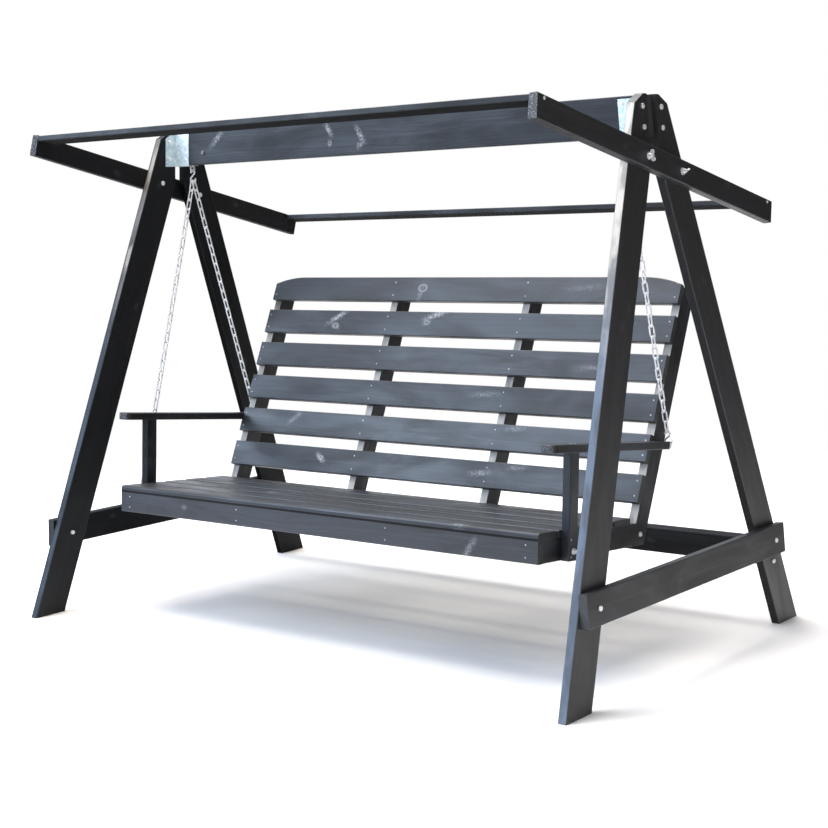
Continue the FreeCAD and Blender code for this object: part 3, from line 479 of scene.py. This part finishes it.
def zincPlate(name, brightness, metal):
    finish = Finish(name)
    place = finish.where("Object")
    bloom = finish.cloud(place, zinc["bloom"], 4.0, 0.6)
    speck = finish.cloud(place, zinc["speck"], 2.0, 0.6)
    worn = bloom.ease(*zinc["worn"])
    bright, dull = (
        tuple(part * brightness for part in zinc[key][:3]) + (1.0,) for key in ("bright", "dull"))
    pitted = speck.ease(*zinc["pitted"])
    finish.set(BaseColor=finish.blend(worn, bright, dull), Metallic=metal - pitted * 0.3)
    finish.set(Roughness=zinc["rough"] + worn * zinc["tarnish"] + speck * 0.08)
    finish.relief(speck * 0.5 + bloom, zinc["reliefStrength"], zinc["reliefDepth"])
    return finish.material


spangle = {
    "light": (0.84, 0.96, 1.0, 1.0), "dark": (0.46, 0.58, 0.65, 1.0), "cell": 95.0, "fine": 210.0,
    "wander": 60.0, "reach": (0.006, 0.006, 0.006), "coarseShare": 0.65, "fineShare": 0.35,
    "metal": 0.35, "rough": 0.28, "roughSpan": 0.30, "reliefStrength": 0.10, "reliefDepth": 0.0004,
}


def galvanisedSheet(name):
    finish = Finish(name)
    place = finish.where("Object")
    wander = finish.cloud(place, spangle["wander"], 3.0)
    moved = finish.vector("ADD", place, finish.vector("MULTIPLY", wander, spangle["reach"]))
    tones = []
    for key in ("cell", "fine"):
        cells = finish.add("TexVoronoi", {}, {"Vector": moved, "Scale": spangle[key]}, "Color")
        tones.append(finish.add("SeparateColor", {}, {0: cells}))
    mixed = tones[0] * spangle["coarseShare"] + tones[1] * spangle["fineShare"]
    colour = finish.blend(mixed, spangle["dark"], spangle["light"])
    finish.set(BaseColor=colour, Metallic=spangle["metal"])
    finish.set(Roughness=spangle["rough"] + mixed * spangle["roughSpan"])
    finish.relief(mixed + wander * 0.5, spangle["reliefStrength"], spangle["reliefDepth"])
    return finish.material


chainZinc = zincPlate("zincChain", 1.15, 0.40)
boltZinc = zincPlate("zincBolt", 1.15, 0.40)
greyZinc = zincPlate("zincGrey", 0.62, 0.45)
dullZinc = zincPlate("zincDull", 0.20, 0.60)
for name in nodes:
    if name.startswith("beam_hanger"):
        dress(name, galvanisedSheet("galvanised_" + name))
    elif name.startswith("chain") or name.endswith("hooks"):
        dress(name, chainZinc)
    elif name == "beam_bolts":
        dress(name, dullZinc)
    elif name not in boards:
        dress(name, boltZinc)
print("metal finished")

screw = {
    "radius": 0.0030, "crown": 0.0011, "socket": 0.0014, "depth": 0.0009, "sink": 0.0006,
    "lobes": 6, "lobeRise": 0.16, "sides": 24,
}


def addScrew(mesh, place, normal, spin, size):
    tilt = Vector((0, 0, 1)).rotation_difference(normal).to_matrix().to_4x4()
    seat = Matrix.Translation(place) @ tilt @ Matrix.Rotation(spin, 4, "Z")
    count = screw["sides"]
    waves = [math.cos(screw["lobes"] * math.tau * k / count) for k in range(count)]
    lobes = [screw["socket"] * (1 + screw["lobeRise"] * wave) for wave in waves]
    outline = [
        ([screw["radius"]] * count, -screw["sink"]),
        ([screw["radius"]] * count, screw["crown"] * 0.35),
        ([screw["radius"] * 0.90] * count, screw["crown"] * 0.75),
        ([screw["radius"] * 0.68] * count, screw["crown"]),
        (lobes, screw["crown"] * 1.02),
        ([lobe * 0.94 for lobe in lobes], screw["crown"] - screw["depth"]),
    ]
    loops = []
    for radii, level in outline:
        loop = []
        for k, radius in enumerate(radii):
            angle = math.tau * k / count
            local = Vector((radius * math.cos(angle), radius * math.sin(angle), level)) * size
            loop.append(mesh.verts.new(seat @ local))
        loops.append(loop)
    for lower, upper in zip(loops, loops[1:]):
        for k in range(count):
            beside = k - count + 1
            mesh.faces.new((lower[k], lower[beside], upper[beside], upper[k]))
    mesh.faces.new(loops[-1])
    mesh.faces.new(list(reversed(loops[0])))


def screwSet(name, body, spots, material, size=1.0):
    mesh = bmesh.new()
    chance = random.Random(name)
    for place, normal in spots:
        addScrew(mesh, place, normal, chance.uniform(0, math.tau), size)
    data = bpy.data.meshes.new(name)
    mesh.to_mesh(data)
    mesh.free()
    piece = bpy.data.objects.new(name, data)
    bpy.context.scene.collection.objects.link(piece)
    data.materials.append(material)
    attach(piece, body)


def onBoard(name, along, wide, face=1):  # spot on a board's broad face
    board = boards[name]
    grain, cross, thick = board["axes"]
    place = board["centre"] + grain * along + cross * wide + thick * face * board["half"][2]
    return place, thick * face


def middleX(name):
    low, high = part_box(name)
    return (low[0] + high[0]) / 2


# where the screws sit, in metres, and their sizes
screwPlan = {
    "slatSpread": 0.024, "railSpread": 0.018, "railEnd": 0.030, "railBelow": 0.009,
    "armSpread": 0.011, "postRises": (0.062, 0.012), "postAcross": 0.012,
    "slatSize": 0.85, "roofSize": 1.6,
}
posts = [middleX(name) for name in backPosts]
bearers = [middleX(name) for name in seatBearers]
pair = (-screwPlan["slatSpread"], screwPlan["slatSpread"])
railPair = (-screwPlan["railSpread"], screwPlan["railSpread"])
armPair = (-screwPlan["armSpread"], screwPlan["armSpread"])
backSpots = [onBoard(name, x, wide) for name in backSlats for x in posts for wide in pair]
seatSpots = [onBoard(name, x, wide) for name in seatSlats for x in bearers for wide in pair]
frontSpots = [onBoard("seat_front_rail", x, wide) for x in bearers for wide in railPair]
armSpots = []
roofSpots = []
for side, word in sides:
    post = boards["arm_post_" + word]
    rest = boards["armrest_" + word]
    apart = post["centre"] - rest["centre"]
    reach, across = (apart.dot(axis) for axis in rest["axes"][:2])
    armSpots += [onBoard("armrest_" + word, reach + step, across) for step in armPair]
    for rise in screwPlan["postRises"]:
        along = -post["half"][0] + rise
        armSpots.append(onBoard("arm_post_" + word, along, screwPlan["postAcross"]))
    arm = boards["roof_arm_" + word]
    below = arm["half"][1] - screwPlan["railBelow"]
    upward = 1 if arm["axes"][1].z > 0 else -1
    for end in (-1, 1):
        along = end * (arm["half"][0] - screwPlan["railEnd"])
        roofSpots.append(onBoard("roof_arm_" + word, along, upward * below))
screwSet("back_slat_screws", "swing", backSpots, greyZinc, screwPlan["slatSize"])
screwSet("seat_slat_screws", "swing", seatSpots, dullZinc, screwPlan["slatSize"])
screwSet("front_rail_screws", "swing", frontSpots, greyZinc, screwPlan["slatSize"])
screwSet("arm_screws", "swing", armSpots, greyZinc)
screwSet("roof_screws", "stand", roofSpots, boltZinc, screwPlan["roofSize"])

# nails through the hangers' cheeks, on both faces of the beam
nailPlan = {"rows": (0.019, 0.099), "alongBeam": (0.016, 0.042), "sheet": 0.0021, "size": 1.5}
cheek = boards["ridge_beam"]["half"][2] + nailPlan["sheet"]
hangerSpots = []
for side, word in sides:
    low, high = (Vector(corner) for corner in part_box("beam_hanger_" + word))
    inner = high.x if side < 0 else low.x
    for face in (-1, 1):
        for rise in nailPlan["rows"]:
            for step in nailPlan["alongBeam"]:
                place = Vector((inner + side * step, face * cheek, low.z + rise))
                hangerSpots.append((place, Vector((0, face, 0))))
nailZinc = galvanisedSheet("galvanised_nails")
screwSet("hanger_nails", "stand", hangerSpots, nailZinc, nailPlan["size"])
print("screws set")

# a pale floor that fades into the white around it
floorPlan = {
    "colour": (0.92, 0.875, 0.82, 1.0), "near": 2.8, "far": 4.6, "spare": 1.1, "drop": 0.0004,
    "rough": 0.9, "gloss": 0.1,
}
floorData = bpy.data.meshes.new("floor")
floorHalf = floorPlan["far"] * floorPlan["spare"]
corners = [
    Vector((x * floorHalf, y * floorHalf, -floorPlan["drop"]))
    for x, y in ((-1, -1), (1, -1), (1, 1), (-1, 1))]
floorData.from_pydata(corners, [], [(0, 1, 2, 3)])
floor = bpy.data.objects.new("floor", floorData)
bpy.context.scene.collection.objects.link(floor)
floorFinish = Finish("paleFloor")
distance = floorFinish.vector("LENGTH", floorFinish.where("Object"), (0, 0, 0), "Value")
floorFinish.set(BaseColor=floorPlan["colour"], Roughness=floorPlan["rough"])
floorFinish.set(SpecularIORLevel=floorPlan["gloss"])
floorFinish.set(Alpha=1 - distance.ease(floorPlan["near"], floorPlan["far"]))
floorData.materials.append(floorFinish.material)

# place, target and size in metres, power in watts
lamps = {
    "keyLight": {"place": (-4.2, -4.2, 3.6), "target": (0, 0, 0.8), "size": 4.0,
                 "power": 240.0, "colour": (0.74, 0.87, 1.0)},
    "topLight": {"place": (-0.9, -0.5, 5.6), "target": (0, 0, 0.2), "size": 4.2,
                 "power": 520.0, "colour": (1.0, 0.96, 0.90)},
    "sideLight": {"place": (4.6, -1.8, 1.8), "target": (1.0, 0, 0.9), "size": 1.6,
                  "power": 60.0, "colour": (1.0, 0.96, 0.91)},
}


def softLight(name, place, target, size, power, colour):
    data = bpy.data.lights.new(name, "AREA")
    data.shape = "DISK"
    data.size = size
    data.energy = power
    data.color = colour
    lamp = bpy.data.objects.new(name, data)
    lamp.location = place
    ahead = Vector(target) - Vector(place)
    lamp.rotation_euler = ahead.to_track_quat("-Z", "Y").to_euler()
    bpy.context.scene.collection.objects.link(lamp)


for name, lamp in lamps.items():
    softLight(name, **lamp)

# bright sky from the left, dusk on the right, white where the camera looks past the object
skyPlan = {
    "dusk": (0.078, 0.072, 0.070, 1.0), "front": (1.00, 1.38, 2.15, 1.0),
    "rear": (1.35, 1.40, 1.48, 1.0), "white": (1, 1, 1, 1),
    "bright": (-0.62, 0.0, 0.5), "brightFade": (-0.05, 0.68), "brightBend": 1.7,
    "back": (0, 1, 0), "backFade": (-0.5, 0.5),
}
world = bpy.data.worlds.new("studio")
bpy.context.scene.world = world
world.use_nodes = True
heaven = Graph(world.node_tree)
heading = heaven.where("Generated")
toward = heaven.dot(heading, skyPlan["bright"]).ease(*skyPlan["brightFade"])
behind = heaven.dot(heading, skyPlan["back"]).ease(*skyPlan["backFade"])
sky = heaven.blend(behind, skyPlan["front"], skyPlan["rear"])
tint = heaven.blend(toward ** skyPlan["brightBend"], skyPlan["dusk"], sky)
lit = heaven.add("Background", {}, {"Color": tint, "Strength": 1.0})
white = heaven.add("Background", {}, {"Color": skyPlan["white"], "Strength": 1.0})
seen = heaven.add("LightPath", {}, {}, "Is Camera Ray")
shown = heaven.add("MixShader", {}, {0: seen, 1: lit, 2: white})
heaven.feed(world.node_tree.nodes["World Output"].inputs["Surface"], shown)
bpy.context.scene.view_settings.view_transform = "Standard"

# the camera of the photograph: metres, degrees and pixels
shot = {
    "place": (3.4466, -4.1739, 1.3593), "yaw": 38.9, "pitch": -7.07, "roll": -1.94,
    "focalPixels": 1639.4, "framePixels": 828, "sensor": 36.0,
}
lensData = bpy.data.cameras.new("photoCamera")
lensData.sensor_width = shot["sensor"]
lensData.lens = shot["focalPixels"] / shot["framePixels"] * lensData.sensor_width
camera = bpy.data.objects.new("photoCamera", lensData)
yaw, pitch, roll = (math.radians(shot[key]) for key in ("yaw", "pitch", "roll"))
ahead = Vector((
    -math.sin(yaw) * math.cos(pitch), math.cos(yaw) * math.cos(pitch), math.sin(pitch)))
right = Vector((math.cos(yaw), math.sin(yaw), 0))
up = right.cross(ahead)
rolledRight = right * math.cos(roll) + up * math.sin(roll)
rolledUp = up * math.cos(roll) - right * math.sin(roll)
facingShot = Matrix((rolledRight, rolledUp, -ahead)).transposed().to_4x4()
camera.matrix_world = Matrix.Translation(shot["place"]) @ facingShot
bpy.context.scene.collection.objects.link(camera)
bpy.context.scene.camera = camera
print("studio ready")
